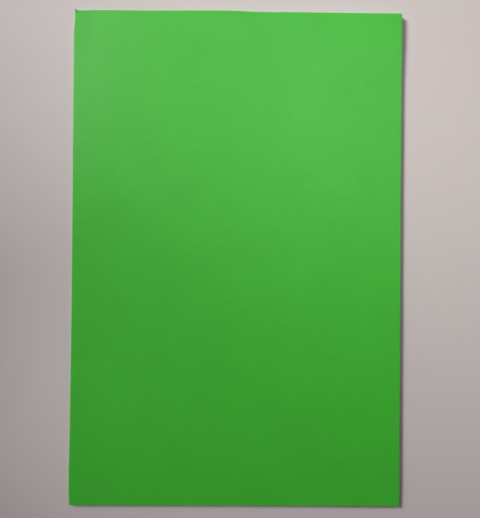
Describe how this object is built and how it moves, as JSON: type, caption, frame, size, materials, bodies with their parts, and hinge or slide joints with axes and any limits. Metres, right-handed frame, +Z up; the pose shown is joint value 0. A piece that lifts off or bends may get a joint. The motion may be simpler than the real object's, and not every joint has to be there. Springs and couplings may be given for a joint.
{
  "type": "craft foam sheet",
  "caption": "Thin flat rectangular sheet of soft closed-cell foam for cutting, gluing and padding, with plain cut edges.",
  "frame": {"origin": "middle of the sheet's underside, on the surface it lies on", "axes": "+Z up out of the surface, X across the sheet, +Y along its long side, towards the edge that lifts in a slight ripple"},
  "size_m": [0.2004, 0.3002, 0.0029],
  "materials": {
    "foam": "matte closed-cell foam skin"
  },
  "bodies": {
    "root": {"foam_sheet": "foam"}
  },
  "joints": []
}
